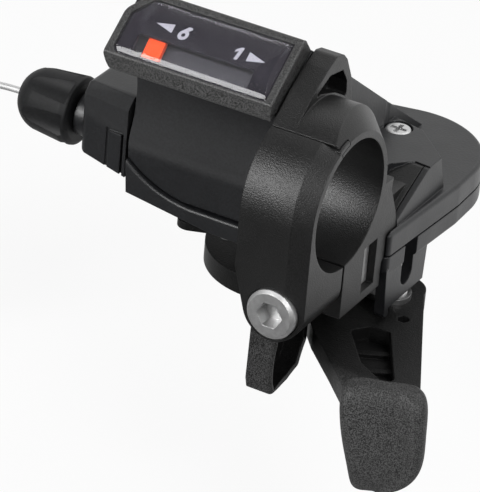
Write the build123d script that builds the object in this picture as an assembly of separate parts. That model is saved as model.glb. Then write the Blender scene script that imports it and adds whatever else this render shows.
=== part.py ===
from build123d import *
import os
from math import cos, radians, sin, sqrt, tan

# Six-speed trigger gear shifter for the right side of a handlebar.
# Millimetres. X runs along the bar, outboard positive. Y points away from the rider and Z up.
# The origin is the middle of the clamp's bore.

# Clearances
slip = 0.15
clear = 0.35
run = 0.05

# Handlebar clamp
bar_d = 22.2
clamp_w = 12.4
band_wall = 2.2
bracket_wall = 4.6
rim_wall = 1.2
rim_chamfer = 3.3
fin_t = 4.0
fin_back = 0.6
seam_angle = 112.0
hook_angle = 11.0
hook_wall = 0.7
hook_t = 1.0
slit = 0.6
lug_y = 13.6
lug_z = -20.9
band_lug_z = -18.2
lug_round = 5.25

# Clamp bolt and square nut
bolt_d = 5.0
bolt_head_d = 8.5
bolt_head_h = 5.0
bolt_hex = 4.0
bolt_hex_deep = 2.8
bolt_x, bolt_z = 0.95, -15.2
bolt_sunk = 4.2
nut_af = 8.0
nut_t = 4.0
nut_y = 9.2

# Housing shells
wall = 1.8
seam_z = -16.1
pod_top = -11.7
rim_z = -19.7
floor_t = 1.5
pod_x, pod_y, pod_r = -18.0, 30.0, 24.0
nose_x, nose_y, nose_r = -6.4, 42.5, 14.4
bulge_x, bulge_y, bulge_r = 2.2, 37.0, 6.0
side_x, side_y = 7.0, 14.4
rear_y = 9.7
tower_right = -6.6
tower_in = 1.8
end_slant, left_end_y = 1.4, 15.0
trough_gap = 1.2
trough_top_y = -2.0
roof_slope = 35.8
ledge_out = 0.9
ledge_round = 0.5
seam_groove, groove_in = 0.35, 0.7
trough_round = 6.0
ledge_x, ledge_z = -25.0, -10.4
tray_end_z = -16.8
tray_end_x = -19.0

# Platform on the pod and its cover screw
platform_top = -5.5
ramp_y, ramp_z, ramp_slope = 27.8, -5.7, 26.0
shoulder_x1, shoulder_t = 5.2, 2.3
platform_foot = [(-9, 18.4), (6.4, 18.4), (6.5, 35.0), (3.4, 42.2), (-9, 44.5)]
platform_head = [(-9, 16.6), (6.2, 16.6), (6.3, 32.4), (-0.6, 39.0), (-9, 41.0)]
screw_x, screw_y = -4.3, 37.3
screw_d = 3.0
screw_head_d = 4.6
screw_head_h = 1.2
foot_t = 3.0
foot_eye = 2.2
foot_w = 8.4
foot_y = 30.0

# Screws that hold the tray
tray_screw_d = 2.5
tray_head_r = 2.4
tray_head_h = 1.4
tray_post_r = 2.4

# Outboard skirt under the pod
skirt_t = 1.8
skirt_z = -26.2
skirt_y1 = 28.6
skirt_tab_y, skirt_tab_z = 16.6, -27.6
slot_y, slot_w, slot_z = 22.0, 4.0, -24.2

# Gear display: its face is tilted back towards the rider
lens_tilt = 38.0
face_y, face_z = -4.4, 15.1
case_left, case_right = -37.6, -6.9
case_top = 12.4
case_lip = 1.9
case_t = 3.3
case_wall = 1.3
front_wall = 0.45
case_corner = 2.6
case_round = 0.4
case_slant_x, case_slant_u = 3.6, 4.2
lens_t = 1.0
lens_crown = 0.7
lens_edge = -0.3
lens_bevel = 45.0
dial_t = 0.6
window_x0, window_x1 = -33.4, -12.4
window_u0, window_u1 = 1.4, 5.0
pointer_w = 3.0
pointer_t = 0.8

# Main axle, cable spool and ratchet
axle_x, axle_y = -18.0, 27.5
axle_r = 3.0
clicks = 5
click_deg = 18.0
wire_d = 1.2
wire_y = 18.0
wire_z = -10.6
groove_w = 3.2
groove_flat = 0.7
flange_t = 1.1
collar_r = 4.4
spool_spring_h = 1.4
yoke_t = 1.0
hub_r = 6.5
key_r = 5.0
key_flat = 4.1
end_play = 0.2
washer_r = 5.4
pin_r = 10.2
pin_d = 2.0
tooth_h = 1.8
tooth_gap = 3.6
ratchet_t = 2.0
ratchet_gap = 0.5
plate_t = 1.5

# Levers
release_t = 1.4
release_gap = 0.6
lever_plate_t = 1.0
lever_gap = 2.9
lever_t = 2.3
lever_rim = 1.3
lever_rim_w = 2.0
hub_gap = 0.4
window_floor = 0.7
cap_r = 11.3
cap_z = -34.8
cap_wall = 1.6
pawl_out = 0.2
pawl_angle = -35.0
pawl_reach = 27.0
pad_turn = 20.0
post_edge = 5.4
hold_angle = 180.0
pawl_eye = 2.6
pawl_nose = 0.9
hair_t, hair_w = 0.6, 0.8
rivet_x, rivet_y = 4.3, 23.3
rivet_head_r = 2.5

# Cable adjuster
boss_len = 10.2
boss_in = 0.2
boss_front, boss_back, boss_taper = 11.8, 25.6, 1.3
boss_low, boss_drop, boss_high = 3.4, 1.6, 9.2
boss_chamfer, boss_round = 1.8, 1.4
tab_in, tab_w, tab_top, tab_groove = 3.0, 3.6, -7.6, 0.5
collar_w = 2.8
knob_len = 11.0
knob_r = 6.2
knob_flutes = 6
flute_r = 3.2
flute_deep = 1.2
flute_turn = 36.0
stem_r = 3.0
socket_r = 2.6
socket_deep = 7.0

# Shift cable: its free end is wound into a tied coil
coil_turn_r = 11.0
coil_section = 8.4
coil_x, coil_z = -97.0, -47.5

# Levels that follow from the sizes above
bar_r = bar_d / 2
half_w = clamp_w / 2
floor_z = rim_z + floor_t
plate_z = floor_z + plate_t
tower_left = pod_x - pod_r + tower_in
boss_x1 = tower_left + boss_in
boss_x0 = boss_x1 - boss_len
knob_x1 = boss_x0 - collar_w - clear
knob_x0 = knob_x1 - knob_len
hold_r = pod_r - post_edge
pawl_r = hold_r + pawl_out
tooth_tip = hold_r - tooth_gap
tooth_root = tooth_tip - tooth_h
lever_hub_r = cap_r + lever_rim_w + hub_gap
spool_wire_r = axle_y - wire_y
groove_r = spool_wire_r - wire_d / 2 - clear
flange_r = spool_wire_r + wire_d / 2 + 0.5
spool_top = wire_z + groove_w / 2 + flange_t
spool_bottom = wire_z - groove_w / 2 - flange_t
ratchet_z1 = rim_z - ratchet_gap
ratchet_z0 = ratchet_z1 - ratchet_t
release_z1 = ratchet_z0 - release_gap
release_z0 = release_z1 - release_t
lever_plate_z1 = release_z0 - lever_gap
lever_plate_z0 = lever_plate_z1 - lever_plate_t
lever_z0 = lever_plate_z0 - lever_t
lever_rim_z = lever_z0 - lever_rim
cap_z1 = lever_z0 - clear
trough_r = bar_r + trough_gap
tilt = radians(lens_tilt)
window_travel = 2 * pin_r * sin(radians(clicks * click_deg / 2))
axle_xy = (axle_x, axle_y)


def poly(points):
    """A flat face from its corner points."""
    return make_face(Polyline(*points, close=True))


def along_x(face, x0, x1):
    """Extrude a face drawn in (y, z) along the bar."""
    return extrude(Plane(origin=(x0, 0, 0), x_dir=(0, 1, 0), z_dir=(1, 0, 0)) * face, x1 - x0)


def along_z(face, z0, z1):
    """Extrude a face drawn in (x, y) upwards."""
    return extrude(Pos(0, 0, z0) * face, z1 - z0)


def rod_z(x, y, r, z0, z1):
    return along_z(Pos(x, y) * Circle(r), z0, z1)


def rod_x(y, z, r, x0, x1):
    return along_x(Pos(y, z) * Circle(r), x0, x1)


def rod_y(x, z, r, y0, y1):
    turned = Plane(origin=(x, y0, z), x_dir=(1, 0, 0), z_dir=(0, 1, 0))
    return extrude(turned * Circle(r), y1 - y0)


def polar(r, angle, about=axle_xy):
    return (about[0] + r * cos(radians(angle)), about[1] + r * sin(radians(angle)))


def links(*rounds):
    """The flat outline that wraps round circles given as (point, radius)."""
    edges = ShapeList()
    for point, r in rounds:
        edges += (Pos(*point) * Circle(r)).edges()
    return make_hull(edges)


def ring_arc(r, a0, a1, steps=2):
    """Points on a circle about the bar, for three-point arcs."""
    span = [a0 + (a1 - a0) * k / steps for k in range(steps + 1)]
    return [(r * cos(radians(a)), r * sin(radians(a))) for a in span]


def sector(r0, r1, a0, a1):
    """A ring sector about the bar, drawn in (y, z)."""
    inner = ring_arc(r0, a0, a1)
    outer = ring_arc(r1, a1, a0)
    edges = [ThreePointArc(*inner), Line(inner[2], outer[0]), ThreePointArc(*outer), Line(outer[2], inner[0])]
    return make_face(edges)


# Handlebar clamp: bracket, band, bolt and nut
def rim_cut(r_outer):
    """What the sloping outboard rim of a ring leaves outside it."""
    rim_r = bar_r + rim_wall
    x0 = half_w - rim_chamfer
    slope = (r_outer - rim_r) / rim_chamfer
    past = 1.0
    x1 = half_w + past
    face = poly([(x0, r_outer), (x1, rim_r - slope * past), (x1, 2 * bar_r), (x0, 2 * bar_r)])
    return revolve(Plane.XZ * face, Axis.X, 360)


def bracket_profile():
    """Section of the bracket across the bar, with the bore still filled."""
    outer = bar_r + bracket_wall
    seam = ring_arc(bar_r + band_wall, seam_angle, 0)[0]
    crown = ring_arc(outer, 88, 60)
    front = ring_arc(outer, 60, 8)
    edge = Polyline(front[2], (14.7, -3.6), (17.0, -8.5), (17.8, -12.0), (lug_y, seam_z - 0.5),
                    (lug_y, lug_z), (slit / 2, lug_z), (slit / 2, 0), (0, 0), seam)
    back = ThreePointArc(seam, ring_arc(bar_r + 3.7, 88, 0)[0], crown[2])
    return make_face([back, ThreePointArc(*front), edge])


def fin_face():
    """Side view of the arch that stands on the ring beside the display."""
    seam = ring_arc(bar_r + band_wall, seam_angle, 0)[0]
    face = poly([seam, (-0.1, 16.2), (4.8, 19.1), (7.6, 20.4), (9.8, 19.9), (11.2, 18.5), (13.2, 14.6),
                 (14.8, 6), (4, 4)])
    return fillet(face.vertices().sort_by(Axis((0, 0, 0), (0.5, 0.87, 0)))[-4:], 1.1)


def clamp_bracket():
    """Front half of the clamp, with its lug, the arch beside the display and the foot for the pod."""
    body = along_x(bracket_profile(), -half_w, half_w)
    above = along_x(poly([(-8, 9), (-8, 24), (22, 24), (22, -1.5), (10, -1.5), (0, 0)]), 0, half_w + 1)
    body -= rim_cut(bar_r + bracket_wall) & above
    body += along_x(fin_face(), -half_w, -half_w + fin_t)
    pocket = poly([(-1.0, 14.9), (5.7, 17.8), (10.0, 17.1), (11.7, 14.6), (12.0, 11.6), (8.0, 13.9),
                   (3.0, 15.6)])
    body -= along_x(fillet(pocket.vertices(), 0.4), -half_w + fin_back, 0)
    body -= rod_x(0, 0, bar_r, -half_w - 1, half_w + 1)
    body += foot(0) + shoulder()
    hook_r = bar_r + hook_wall
    hook = sector(hook_r, hook_r + hook_t, seam_angle - hook_angle - 1, seam_angle + 1)
    body -= along_x(hook, -half_w - 1, half_w + 1)
    body -= nut_pocket()
    body -= rod_y(bolt_x, bolt_z, bolt_d / 2 + slip, -1, lug_y + 1)
    body -= rod_z(screw_x, screw_y, screw_d / 2, -20, 0)
    return body


def foot_outline():
    """Plan of the bracket's tongue, which runs forward under the platform to the cover screw."""
    half = foot_w / 2
    tongue = poly([(-half, lug_y), (half, lug_y), (half, foot_y), (screw_x + foot_eye, screw_y),
                   (screw_x - foot_eye, screw_y), (-half, foot_y)])
    return tongue + Pos(screw_x, screw_y) * Circle(foot_eye)


def foot(grow):
    z1 = platform_top - wall - slip
    outline = offset(foot_outline(), grow) if grow else foot_outline()
    return along_z(outline, z1 - foot_t - grow, z1 + grow)


def nut_pocket():
    """Slot, open outboard, that the square nut slides into."""
    half = nut_af / 2 + slip
    deep = nut_t / 2 + slip
    face = Pos(nut_y, bolt_z) * Rectangle(2 * deep, 2 * half)
    return along_x(face, bolt_x - half, half_w + 1)


def clamp_band():
    """Rider-side half of the clamp: hooked at the top, drawn to the bracket by the bolt at the bottom."""
    outer = bar_r + band_wall
    top = ring_arc(outer, seam_angle + 0.8, 180)
    start = ring_arc(bar_r, seam_angle + 0.8, 180)[0]
    lug = [top[2], (-outer, band_lug_z - 2), (-slit / 2 - 6, band_lug_z - 2), (-slit / 2, band_lug_z),
           (-slit / 2, 0), (0, 0)]
    face = make_face([Line((0, 0), start), Line(start, top[0]), ThreePointArc(*top), Polyline(*lug)])
    body = along_x(face, -half_w, half_w)
    rear = along_x(Pos(-20, 0) * Rectangle(40, 60), 0, half_w + 1)
    upper = along_x(Pos(-20, 20) * Rectangle(40, 40), 0, half_w + 1)
    body -= rim_cut(outer) & upper
    side = poly([(half_w - rim_chamfer, -outer), (half_w, -bar_r - rim_wall), (half_w + 1, -bar_r - rim_wall),
                 (half_w + 1, -outer - 1), (half_w - rim_chamfer, -outer - 1)])
    body -= extrude(side, -30) & rear
    front = Pos(0, 6) * Rectangle(clamp_w, 2 * bar_r + 8)
    front = make_hull(front.edges() + (Pos(bolt_x, bolt_z + 0.4) * Circle(lug_round)).edges())
    body = body & extrude(Plane.XZ * front, 20, both=True)
    body -= rod_x(0, 0, bar_r, -half_w - 1, half_w + 1)
    hook_r = bar_r + hook_wall
    hook = sector(hook_r + slip, hook_r + hook_t - slip, seam_angle - hook_angle, seam_angle + 2)
    body += along_x(hook, -half_w, half_w)
    body -= rod_y(bolt_x, bolt_z, bolt_d / 2 + slip, -outer - 1, 1)
    body -= rod_y(bolt_x, bolt_z, bolt_head_d / 2 + slip, -outer - 1, -outer + bolt_sunk)
    return body


def hexagon(af):
    return RegularPolygon(af / sqrt(3), 6)


def clamp_bolt():
    """Socket-head bolt, with its head in the band and its tip in the nut."""
    seat = -bar_r - band_wall + bolt_sunk
    head = rod_y(bolt_x, bolt_z, bolt_head_d / 2, seat - bolt_head_h, seat)
    head = chamfer(head.edges().group_by(Axis.Y)[0], 0.5)
    face = Plane(origin=(bolt_x, seat - bolt_head_h, bolt_z), x_dir=(1, 0, 0), z_dir=(0, 1, 0))
    head -= extrude(face * hexagon(bolt_hex), bolt_hex_deep)
    return head + rod_y(bolt_x, bolt_z, bolt_d / 2, seat, nut_y + nut_t / 2 + 1.2)


def clamp_nut():
    face = Rectangle(nut_af, nut_af) - Circle(bolt_d / 2)
    turned = Plane(origin=(bolt_x, nut_y - nut_t / 2, bolt_z), x_dir=(1, 0, 0), z_dir=(0, 1, 0))
    return extrude(turned * face, nut_t)


# Housing
def pod_plan():
    """Plan outline of the pod: a drum round the axle with a nose, cut back beside the bar and the clamp."""
    outline = links(((pod_x, pod_y), pod_r), ((nose_x, nose_y), nose_r), ((bulge_x, bulge_y), bulge_r),
                    ((side_x - 1, side_y + 1), 1.0))
    reach = 2 * pod_r
    outline -= Pos(pod_x, rear_y - reach) * Rectangle(2 * reach, 2 * reach)
    outline -= poly([(tower_right, -reach), (reach, -reach), (reach, side_y), (tower_right, side_y)])
    return outline


def tower_plan():
    """Plan outline of the tall part under the display."""
    reach = 4 * pod_r
    left = poly([(tower_left, -8), (tower_right, -8), (tower_right, pod_y), (tower_left, pod_y - 10)])
    return left + (pod_plan() - Pos(tower_right + reach / 2, 0) * Rectangle(reach, reach))


def roof_at(y):
    seat_y, seat_z = on_face(case_top, -case_t)
    return seat_z - (y - seat_y) * tan(radians(roof_slope))


def on_face(u, n):
    """A point of the display's own frame, as (y, z): u up its face, n out of it."""
    return (face_y + u * cos(tilt) - n * sin(tilt), face_z + u * sin(tilt) + n * cos(tilt))


def tower_profile(bottom):
    """Section across the bar: trough round the bar, seat of the display and sloping roof."""
    start = (trough_top_y, sqrt(trough_r ** 2 - trough_top_y ** 2))
    low = (rear_y, -sqrt(trough_r ** 2 - rear_y ** 2))
    middle = ring_arc(trough_r, 45, 0)[0]
    along = (trough_top_y - on_face(0, -case_t)[0]) / cos(tilt)
    seat0 = on_face(along, -case_t)
    seat1 = on_face(case_top, -case_t)
    front = pod_y + pod_r + 2
    face = make_face([ThreePointArc(start, middle, low), Polyline(low, (rear_y, bottom), (front, bottom),
                      (front, roof_at(front)), seat1, seat0, start)])
    return fillet(face.vertices().sort_by_distance((*low, 0))[0], trough_round)


def platform(inset, top):
    lower = Pos(0, 0, pod_top - 3) * offset(poly(platform_foot), -inset)
    upper = Pos(0, 0, top) * offset(poly(platform_head), -inset)
    return loft([lower.face(), upper.face()])


def ramp_at(y):
    return ramp_z - (ramp_y - y) * tan(radians(ramp_slope))


def notch_plan():
    """Plan of the platform's corner beside the clamp, which falls away as a ramp."""
    return poly([(-2.5, 13), (0.5, 25.7), (3.4, 28.7), (9, 28.2), (9, 13)])


def notch():
    """What the ramp leaves above it."""
    end = ramp_y + 2
    above = poly([(13, ramp_at(13)), (ramp_y, ramp_z), (end, ramp_z), (end, 3), (13, 3)])
    return along_x(above, -4, 9) & along_z(notch_plan(), -20, 5)


def shoulder(grow=0.0):
    """Sloping block of the bracket that fills the notch and carries the ramp."""
    start = 15.0
    end = ramp_y + 2
    section = poly([(start, ramp_at(start)), (ramp_y, ramp_z), (end, ramp_z), (end, ramp_z - shoulder_t),
                    (ramp_y, ramp_z - shoulder_t), (start, ramp_at(start) - shoulder_t)])
    section = offset(section, grow) if grow else section
    plan = notch_plan() - Pos(shoulder_x1 + 10 + slip, 20) * Rectangle(20, 40)
    return along_x(section, -4, 9) & along_z(offset(plan, grow - slip - run), -20, 5)


def left_end():
    """What the slanted left end of the trough and the tray leaves outside it."""
    out = tower_left - 1
    under_case = case_left - 0.6
    low = rim_z - 1
    face = poly([(out, 40), (under_case, 40), (under_case, 9), (tower_left, 4), (tower_left, -2),
                 (tower_left + end_slant, low), (out, low)])
    return extrude(Plane.XZ.offset(-left_end_y) * face, 2 * left_end_y)


def upper_cover():
    """Moulded shell: trough, display seat, roof, pod top and platform, open below."""
    tower = along_x(tower_profile(seam_z), tower_left - pod_r, tower_right)
    tower = (tower & along_z(tower_plan(), seam_z, 40)) - left_end()
    pod = along_z(pod_plan(), seam_z, pod_top)
    pod = fillet(pod.edges().group_by(Axis.Z)[-1], 0.8)
    shell = tower + pod + platform(0, platform_top) - notch()
    room = along_x(offset(tower_profile(seam_z - 6), -wall), tower_left - pod_r, tower_right + 5)
    room = (room & along_z(offset(tower_plan(), -wall), seam_z - 2, 40)) - Pos(wall, 0, 0) * left_end()
    room += along_z(offset(pod_plan(), -wall), seam_z - 2, pod_top - wall)
    room += platform(wall, platform_top - wall)
    room += along_z(offset(poly(platform_foot), -wall), seam_z - 2, pod_top - 1)
    room += rod_z(*axle_xy, flange_r + clear, seam_z - 2, spool_top + clear)
    yoke_x1 = pointer_yoke_x + window_travel + clear
    yoke_room = poly([(axle_x, arm_y - clear), (yoke_x1, arm_y - clear), (yoke_x1, axle_y - collar_r),
                      (axle_x, axle_y - collar_r)])
    room += along_z(yoke_room, yoke_z - clear, yoke_z + yoke_t + 1.0)
    shell -= room
    shell -= rear_ledge(slip, 2)
    shell -= along_x(offset(bracket_profile(), slip), tower_right, half_w + slip)
    shell -= along_z(pod_plan() - offset(pod_plan(), -groove_in), seam_z, seam_z + seam_groove)
    shell -= foot(slip) + shoulder(slip)
    shell += rod_z(*axle_xy, axle_r + 2.6, insert_z0, 10) & tower
    for x, y in cover_screws_xy:
        ceiling = roof_at(y) if x < tower_right else pod_top
        shell += rod_z(x, y, tray_post_r, plate_z + slip, 10) & (tower + pod)
        shell -= rod_z(x, y, tray_screw_d / 2, seam_z - 3, ceiling - wall)
    shell -= rod_z(*axle_xy, insert_r, insert_z0 - 1, insert_z1)
    shell -= rod_x(wire_y, wire_z, spigot_r + slip, tower_left - 8, tower_left + 12)
    shell -= rod_z(screw_x, screw_y, screw_d / 2 + slip, -20, 0)
    shell -= rod_z(screw_x, screw_y, screw_head_d / 2 + slip, platform_top - screw_sunk, 0)
    shell -= pointer_slot()
    return shell


def pointer_slot():
    """Opening in the display's seat that the pointer's arm runs in."""
    x0 = pointer_x - slip - clear
    x1 = pointer_x + arm_t + window_travel + slip + clear
    through = -case_t - wall - 1.3
    face = poly([on_face(arm_u0 - 0.5, -1), on_face(arm_u1 + 0.7, -1), on_face(arm_u1 + 1.0, through),
                 on_face(arm_u0, through)])
    return along_x(face, x0, x1)


def rear_ledge(grow=0.0, past=0.01):
    """Rear wall of the tray: its top edge sweeps up to the left end, and it stands proud of the trough."""
    left = tower_left - past
    end = (ledge_x, seam_z + grow)
    start = (tower_left, ledge_z + grow)
    sweep_up = ThreePointArc(start, (-34.6, -14.2 + grow), end)
    low = rim_z + 0.5 - past
    right = tower_right + past
    edge = Polyline(end, (right, seam_z + grow), (right, low), (left, low), (left, ledge_z + grow), start)
    wall_face = Plane.XZ.offset(-rear_y - wall - grow) * make_face([sweep_up, edge])
    body = extrude(wall_face, wall + grow + ledge_out + past)
    if grow:
        return body
    rim = body.faces().sort_by(Axis.Y)[0].edges()
    top = [e for e in rim if e.bounding_box().size.X > 2 and e.center().Z > seam_z - 0.5]
    return fillet(top, ledge_round)


def tray_end():
    """What the rising bottom edge at the tray's left end leaves outside it."""
    outside = tower_left - 1
    below = rim_z - 1
    face = poly([(outside, tray_end_z), (tower_left, tray_end_z), (tray_end_x, rim_z), (tray_end_x, below),
                 (outside, below)])
    return extrude(Plane.XZ.offset(-rear_y - wall) * face, wall + ledge_out + 1)


def lower_cover():
    """Moulded tray that closes the pod from below, with the slotted skirt beside the clamp's lug."""
    tray = along_z(pod_plan(), rim_z, seam_z)
    tray = fillet(tray.edges().group_by(Axis.Z)[0], 0.8)
    tray -= along_z(offset(pod_plan(), -wall), floor_z, seam_z + 1)
    tray += rear_ledge()
    tray -= tray_end() + left_end()
    y0 = side_y
    skirt = poly([(y0, floor_z), (skirt_y1 + 0.6, floor_z), (skirt_y1, skirt_z), (skirt_tab_y, skirt_z),
                  (skirt_tab_y, skirt_tab_z), (y0 + 0.8, skirt_tab_z)])
    skirt = fillet(skirt.vertices().sort_by(Axis.Y)[1:2] + skirt.vertices().sort_by(Axis.Y)[4:5], 0.6)
    slot_top = seam_z
    slot_round = slot_z + slot_w / 2
    slot = Pos(slot_y, (slot_top + slot_round) / 2) * Rectangle(slot_w, slot_top - slot_round)
    slot += Pos(slot_y, slot_round) * Circle(slot_w / 2)
    tray += along_x(skirt, side_x - skirt_t, side_x)
    tray -= along_x(slot, side_x - skirt_t - 0.3, side_x + 3)
    tray -= rod_z(*axle_xy, hub_r + clear, rim_z - 1, seam_z)
    tray -= rod_z(*polar(hold_r, hold_angle), post_r + slip, rim_z - 1, seam_z)
    for x, y in cover_screws_xy:
        tray -= rod_z(x, y, tray_hole_r, rim_z - 1, seam_z)
    return tray


def base_plate():
    """Steel plate on the tray's floor: it carries the holding pawl's post."""
    plate = offset(pod_plan(), -wall - slip)
    plate -= Pos(*axle_xy) * Circle(hub_r + clear)
    plate -= Pos(*polar(hold_r, hold_angle)) * Circle(post_r + run)
    for x, y in cover_screws_xy:
        plate -= Pos(x, y) * Circle(tray_hole_r)
    return along_z(plate, floor_z, plate_z)


def cross_recess(d, deep):
    arm = Rectangle(d, d * 0.24) + Rectangle(d * 0.24, d)
    return extrude(arm, -deep)


def cover_screw():
    """Cross-head screw through the platform into the bracket's foot."""
    z = platform_top - screw_sunk
    head = along_z(Pos(screw_x, screw_y) * Circle(screw_head_d / 2), z, z + screw_head_h)
    head = fillet(head.edges().group_by(Axis.Z)[-1], 0.5)
    head -= Pos(screw_x, screw_y, z + screw_head_h) * cross_recess(2.9, 0.8)
    return head + rod_z(screw_x, screw_y, screw_d / 2, platform_top - wall - slip - foot_t, z)


def tray_screws():
    """Two small screws that hold the tray to the upper shell."""
    solids = []
    for x, y in cover_screws_xy:
        head = rod_z(x, y, tray_head_r, rim_z - tray_head_h, rim_z)
        head -= Pos(x, y, rim_z - tray_head_h) * Rot(180, 0, 0) * cross_recess(2.6, 0.8)
        solids.append(head + rod_z(x, y, tray_screw_d / 2, rim_z, plate_z + 3.0))
    return Compound(children=solids)


# Display
def case_outline(inset=0.0, lip=0.0):
    """Outline of the display in its own frame: x along the bar, u up the face."""
    outline = poly([(case_left, -lip), (case_right, -lip), (case_right, case_top),
                    (case_left + case_slant_x, case_top), (case_left, case_top - case_slant_u)])
    left = outline.vertices().sort_by(Axis.X)[:3]
    outline = fillet(left, case_corner)
    return offset(outline, -inset) if inset else outline


def lens_outline(gap=0.0):
    """Outline of the recess for dial and lens: its wall is thin along the rider's edge."""
    return case_outline(case_wall + gap, case_wall - front_wall)


def face_plane(n):
    """Plane of the display's face, n above it."""
    y, z = on_face(0, n)
    return Plane(origin=(0, y, z), x_dir=(1, 0, 0), z_dir=(0, -sin(tilt), cos(tilt)))


def on_display(face, n0, n1):
    return extrude(face_plane(n0) * face, n1 - n0)


def display_housing():
    """Open box that holds the dial and the lens, with a lip that hangs over the trough."""
    lip_foot = on_face(0.6, -case_t)
    profile = poly([on_face(0, 0), (face_y + 0.2, face_z - 2.8), lip_foot, on_face(case_top, -case_t),
                    on_face(case_top, 0)])
    case = along_x(profile, case_left - 1, case_right) & on_display(case_outline(0, case_lip), -case_t - 1, 1)
    case = fillet(case.faces().sort_by(Axis((0, 0, 0), (0, -sin(tilt), cos(tilt))))[-1].edges(), case_round)
    case -= on_display(lens_outline(), -lens_t - dial_t, 1)
    ledge = case_wall + 0.9
    left, right, top = case_left + ledge, case_right - ledge, case_top - ledge
    opening = poly([(left, case_wall), (right, case_wall), (right, top), (left + case_slant_x, top),
                    (left, top - case_slant_u)])
    case -= on_display(opening, -case_t - 1, 1)
    return case


def display_lens():
    """Clear cover, slightly crowned across the face."""
    width = case_top - 2 * case_wall
    crown_r = width ** 2 / (8 * lens_crown) + lens_crown / 2
    slab = on_display(lens_outline(slip), -lens_t, lens_edge)
    slab += extrude(face_plane(lens_edge) * lens_outline(slip), lens_crown - lens_edge, taper=lens_bevel)
    y, z = on_face(case_top / 2, lens_crown - crown_r)
    return slab & rod_x(y, z, crown_r, case_left - 1, case_right + 1)


def dial_plate():
    """Dark plate under the lens, with the window that the pointer shows through."""
    window = RectangleRounded(window_x1 - window_x0, window_u1 - window_u0, 0.5)
    window = Pos((window_x0 + window_x1) / 2, (window_u0 + window_u1) / 2) * window
    return on_display(lens_outline(slip) - window, -lens_t - dial_t, -lens_t)


def gear_pointer():
    """Pointer and its arm: a yoke at the arm's foot follows the pin on the spool."""
    flag_n = -lens_t - dial_t - slip
    under = flag_n - pointer_t
    flag = poly([(pointer_x, window_u0 + 0.2), (pointer_x + pointer_w, window_u0 + 0.2),
                 (pointer_x + pointer_w, window_u1 + 0.3), (pointer_x, window_u1 + 0.3)])
    part = on_display(flag, under, flag_n)
    top = yoke_z + yoke_t
    arm = poly([on_face(window_u1, flag_n), on_face(arm_u1, flag_n), (10.5, 13.5), (arm_y + arm_w, 6.0),
                (arm_y + arm_w, top), (arm_y, top), (arm_y, 4.0), (8.4, 12.6), on_face(arm_u0, under),
                on_face(window_u1, under)])
    part += along_x(arm, pointer_x, pointer_x + arm_t)
    pin_y0 = axle_y - pin_r
    pin_y1 = axle_y - pin_r * cos(radians(clicks * click_deg / 2))
    reach = pin_d / 2 + clear
    low = pin_y0 - reach
    high = pin_y1 + reach
    fork = Pos(pin_x0, (low + high) / 2)
    yoke = fork * Rectangle(2 * (yoke_half + yoke_rim), high - low + 2 * yoke_end)
    yoke += Pos((pointer_x + pin_x0) / 2, arm_y + arm_w / 2) * Rectangle(pin_x0 - pointer_x, arm_w)
    yoke -= fork * Rectangle(2 * yoke_half, high - low)
    return part + along_z(yoke, yoke_z, top)


# Axle, spool and ratchet
def main_axle():
    """Shouldered axle: its tip seats in the insert of the upper shell and its head holds the hub cap."""
    shaft = rod_z(*axle_xy, axle_r, cap_z + 1.0, insert_z1 - 0.4)
    head = rod_z(*axle_xy, axle_r + 2.2, cap_z - 0.6, cap_z + 1.0)
    head = fillet(head.edges().group_by(Axis.Z)[0], 0.6)
    head -= Pos(axle_x, axle_y, cap_z - 0.6) * Rot(180, 0, 0) * extrude(hexagon(4.0), -1.8)
    return shaft + head


def axle_insert():
    return along_z(Pos(*axle_xy) * (Circle(insert_r) - Circle(axle_r)), insert_z0, insert_z1)


def cable_spool():
    """Grooved spool with a deep hub that carries the ratchet under the tray."""
    foot_z = ratchet_z0 - end_play
    top_z = insert_z0 - end_play
    rim = [(axle_r + run, foot_z), (key_r, foot_z), (key_r, ratchet_z1), (hub_r, ratchet_z1),
           (hub_r, spool_bottom), (flange_r, spool_bottom), (flange_r, wire_z - groove_w / 2),
           (groove_r, wire_z - groove_flat), (groove_r, wire_z + groove_flat),
           (flange_r, wire_z + groove_w / 2), (flange_r, spool_top), (collar_r, spool_top), (collar_r, top_z),
           (axle_r + run, top_z)]
    turned = revolve(Plane.XZ * poly(rim), Axis.Z, 360)
    part = Pos(axle_x, axle_y, 0) * turned
    start = 270 - clicks * click_deg / 2
    pin_at = polar(pin_r, start)
    ear = links((polar(flange_r - 3, start), 3.0), (pin_at, pin_d / 2 + 0.9))
    part += along_z(ear, spool_top - flange_t, spool_top)
    part += rod_z(*pin_at, pin_d / 2, spool_top, yoke_z + yoke_t + 0.6)
    head_at = polar(spool_wire_r - 0.6, head_angle)
    part -= rod_z(*head_at, head_r + slip, wire_z - groove_w / 2, spool_top + 1)
    return part - along_z(Pos(*axle_xy) * (Circle(hub_r) - key_face()), ratchet_z0 - 1, ratchet_z1)


def key_face():
    """Flatted seat of the ratchet on the spool's hub."""
    return Circle(key_r) & Rectangle(2 * hub_r, 2 * key_flat)


def ratchet_wheel():
    """Saw-toothed wheel: each tooth has its steep side facing the pawl noses."""
    count = round(360 / click_deg)
    wheel = Circle(tooth_root)
    span = radians(click_deg)
    for k in range(count):
        a = radians(tooth_phase) + k * span
        foot_a = a + span * 0.8
        corners = [(tooth_root - 1, a), (tooth_tip, a), (tooth_tip, a + span * 0.16), (tooth_root, foot_a),
                   (tooth_root - 1, foot_a)]
        wheel += poly([(r * cos(t), r * sin(t)) for r, t in corners])
    wheel -= offset(key_face(), run)
    for k in range(3):
        hole = Pos((key_r + tooth_root) / 2, 0) * Circle(0.24 * (tooth_root - key_r))
        wheel -= Rot(0, 0, 120 * k + 30) * hole
    return along_z(Pos(*axle_xy) * wheel, ratchet_z0, ratchet_z1)


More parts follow.
